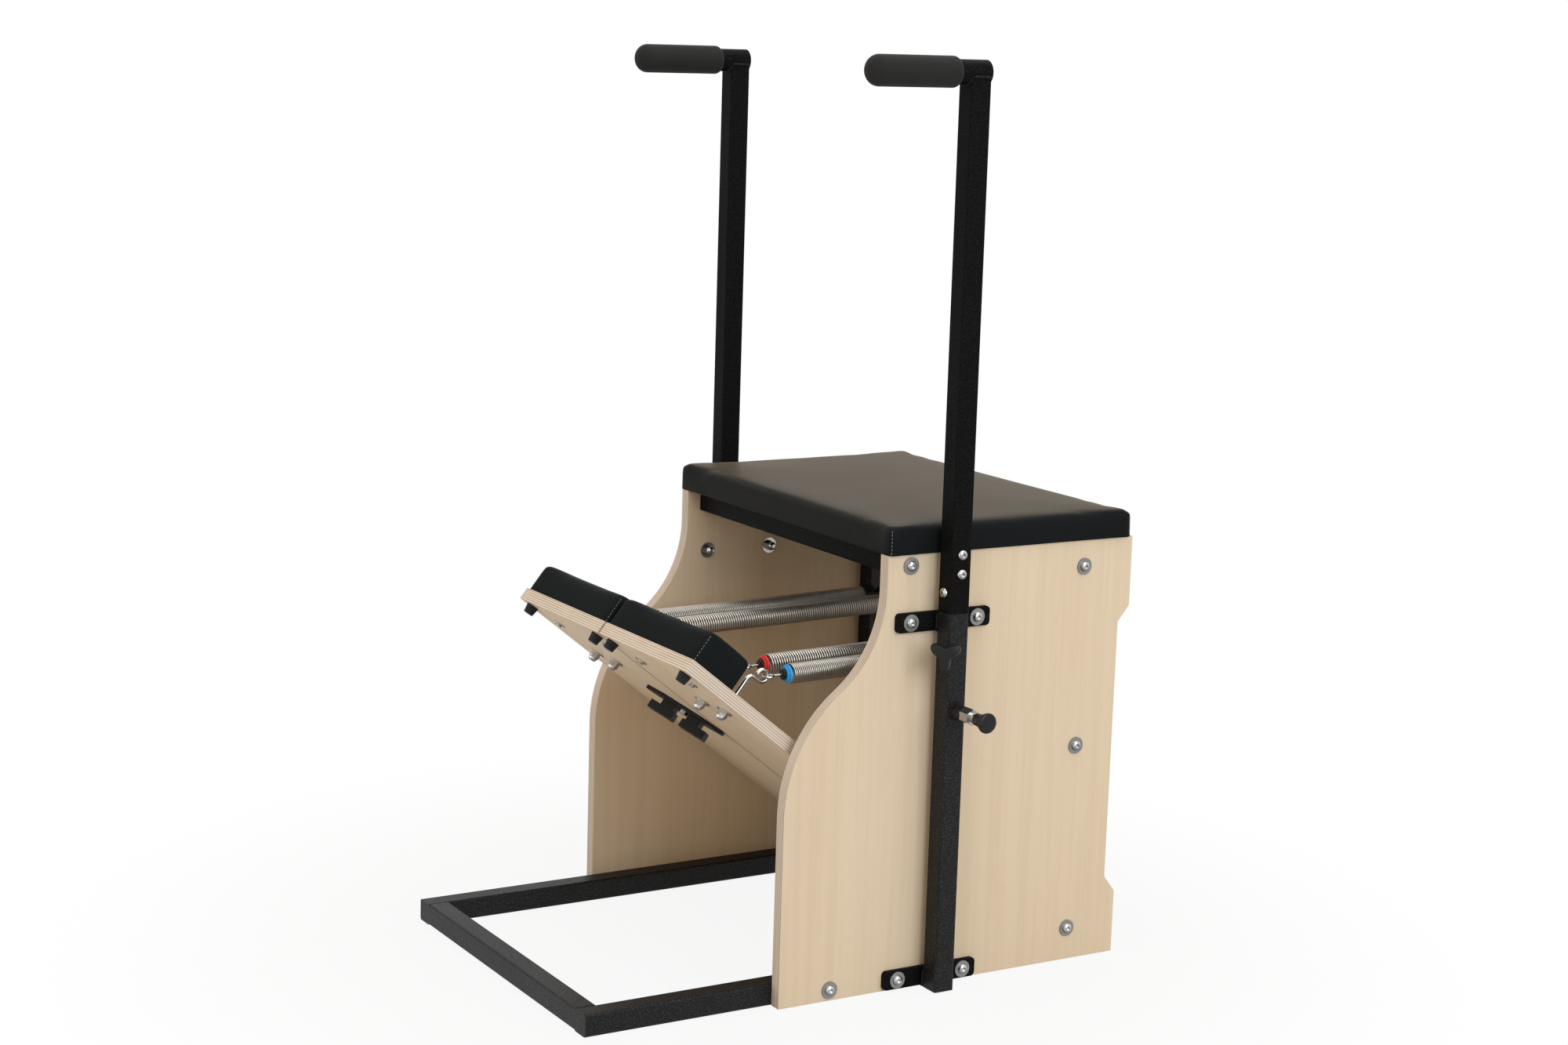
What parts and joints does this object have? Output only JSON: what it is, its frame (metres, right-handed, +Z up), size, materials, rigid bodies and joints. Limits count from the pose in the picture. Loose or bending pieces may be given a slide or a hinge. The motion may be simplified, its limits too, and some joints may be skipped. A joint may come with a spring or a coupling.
{
  "type": "pilates chair",
  "caption": "Plywood pilates chair with a padded seat, sprung foot pedals that swing down on a rear axle, and tall push handles that slide up in side sleeves.",
  "frame": {"origin": "on the floor under the middle of the chair's depth and width", "axes": "+X across the chair to its right side panel, -Y to the pedals at the front, +Z up"},
  "size_m": [0.79, 0.811, 1.2285],
  "materials": {
    "ply": "satin lacquer",
    "black_steel": "wrinkle powder coat",
    "post_steel": "smooth satin paint",
    "bare_steel": "plain",
    "bright_bolts": "bright zinc",
    "washer_steel": "dull zinc",
    "dark_screws": "black oxide",
    "black_plastic": "satin",
    "foam": "matte foam",
    "rubber": "matte",
    "vinyl": "satin vinyl",
    "seat_base": "black cover",
    "spring_wire": "nickel",
    "plug_colour": "satin"
  },
  "bodies": {
    "frame": {"side_panel_left": "ply", "side_panel_right": "ply", "base_front_tube": "black_steel", "base_side_tube_left": "black_steel", "base_side_tube_right": "black_steel", "tube_plugs": "black_plastic", "rear_uprights": "black_steel", "axle_blocks": "black_steel", "seat_rail": "black_steel", "rear_rails": "black_steel", "pedal_axle": "bare_steel", "spring_rack_left": "black_steel", "spring_rack_right": "black_steel", "seat_board": "seat_base", "seat_cushion": "vinyl", "frame_bolts": "bright_bolts", "frame_washers": "washer_steel", "cap_nuts": "bright_bolts", "sleeve_left": "black_steel", "sleeve_right": "black_steel", "sleeve_brackets": "black_steel", "plunger_collars": "bright_bolts"},
    "pedal_latch": {"pedal_latch": "black_plastic"},
    "pedal_left": {"pedal_board_left": "ply", "pedal_pad_left": "vinyl", "pedal_bumpers_left": "rubber", "pedal_hinges_left": "bare_steel", "eye_bolts_left": "bright_bolts", "pedal_fasteners_left": "bright_bolts"},
    "spring_left": {"spring_ends_left": "spring_wire", "coil_left_inner": "spring_wire", "coil_left_outer": "spring_wire"},
    "spring_front_left": {"spring_plugs_left": "plug_colour", "spring_hooks_left": "spring_wire"},
    "handle_left": {"handle_post_left": "post_steel", "handle_insert_left": "bare_steel", "handle_screws_left": "dark_screws", "handle_grip_left": "foam"},
    "plunger_left": {"plunger_knob_left": "black_plastic"},
    "clamp_left": {"clamp_knob_left": "black_plastic"},
    "pedal_right": {"pedal_board_right": "ply", "pedal_pad_right": "vinyl", "pedal_bumpers_right": "rubber", "pedal_hinges_right": "bare_steel", "eye_bolts_right": "bright_bolts", "pedal_fasteners_right": "bright_bolts"},
    "spring_right": {"spring_ends_right": "spring_wire", "coil_right_inner": "spring_wire", "coil_right_outer": "spring_wire"},
    "spring_front_right": {"spring_plugs_right": "plug_colour", "spring_hooks_right": "spring_wire"},
    "handle_right": {"handle_post_right": "post_steel", "handle_insert_right": "bare_steel", "handle_screws_right": "dark_screws", "handle_grip_right": "foam"},
    "plunger_right": {"plunger_knob_right": "black_plastic"},
    "clamp_right": {"clamp_knob_right": "black_plastic"}
  },
  "joints": [
    {"name": "pedal_left_hinge", "type": "hinge", "parent": "frame", "child": "pedal_left", "pos_m": [0, 0.2545, 0.052], "axis": [1, 0, 0], "range_deg": [0, 38.6], "stiffness_Nm_per_rad": 60, "springref_deg": -17.19},
    {"name": "spring_left_swing", "type": "hinge", "parent": "frame", "child": "spring_left", "pos_m": [0, 0.3055, 0.43], "axis": [1, 0, 0], "range_deg": [0, 28.19]},
    {"name": "spring_left_stretch", "type": "slide", "parent": "spring_left", "child": "spring_front_left", "axis": [0, -0.9998, -0.0198], "range_m": [0, 0.23346], "deforming": ["coil_left_inner", "coil_left_outer", "spring_hooks_left"]},
    {"name": "handle_left_slide", "type": "slide", "parent": "frame", "child": "handle_left", "axis": [0, 0, 1], "range_m": [0, 0.25]},
    {"name": "plunger_left_pull", "type": "slide", "parent": "frame", "child": "plunger_left", "axis": [-1, 0, 0], "range_m": [0, 0.008], "stiffness_N_per_m": 2000, "springref_m": -0.002},
    {"name": "clamp_left_turn", "type": "hinge", "parent": "frame", "child": "clamp_left", "pos_m": [-0.32, 0.0815, 0.467], "axis": [-0.7071, -0.7071, 0], "range_deg": [0, 360]},
    {"name": "pedal_right_hinge", "type": "hinge", "parent": "frame", "child": "pedal_right", "pos_m": [0, 0.2545, 0.052], "axis": [1, 0, 0], "range_deg": [0, 38.6], "stiffness_Nm_per_rad": 60, "springref_deg": -17.19},
    {"name": "spring_right_swing", "type": "hinge", "parent": "frame", "child": "spring_right", "pos_m": [0, 0.3055, 0.43], "axis": [1, 0, 0], "range_deg": [0, 28.19]},
    {"name": "spring_right_stretch", "type": "slide", "parent": "spring_right", "child": "spring_front_right", "axis": [0, -0.9998, -0.0198], "range_m": [0, 0.23346], "deforming": ["coil_right_inner", "coil_right_outer", "spring_hooks_right"]},
    {"name": "handle_right_slide", "type": "slide", "parent": "frame", "child": "handle_right", "axis": [0, 0, 1], "range_m": [0, 0.25]},
    {"name": "plunger_right_pull", "type": "slide", "parent": "frame", "child": "plunger_right", "axis": [1, 0, 0], "range_m": [0, 0.008], "stiffness_N_per_m": 2000, "springref_m": -0.002},
    {"name": "clamp_right_turn", "type": "hinge", "parent": "frame", "child": "clamp_right", "pos_m": [0.32, 0.0815, 0.467], "axis": [0.7071, -0.7071, 0], "range_deg": [0, 360]},
    {"name": "pedal_latch_turn", "type": "hinge", "parent": "pedal_left", "child": "pedal_latch", "pos_m": [-0.055, -0.09783, 0.32234], "axis": [0, -0.6247, -0.7809], "range_deg": [0, 36]}
  ],
  "couplings": [
    {"joint": "spring_left_swing", "follows": "pedal_left_hinge", "ratio": 0.72898},
    {"joint": "spring_left_stretch", "follows": "pedal_left_hinge", "m_per_rad": 0.34624},
    {"joint": "spring_right_swing", "follows": "pedal_right_hinge", "ratio": 0.72898},
    {"joint": "spring_right_stretch", "follows": "pedal_right_hinge", "m_per_rad": 0.34624}
  ]
}
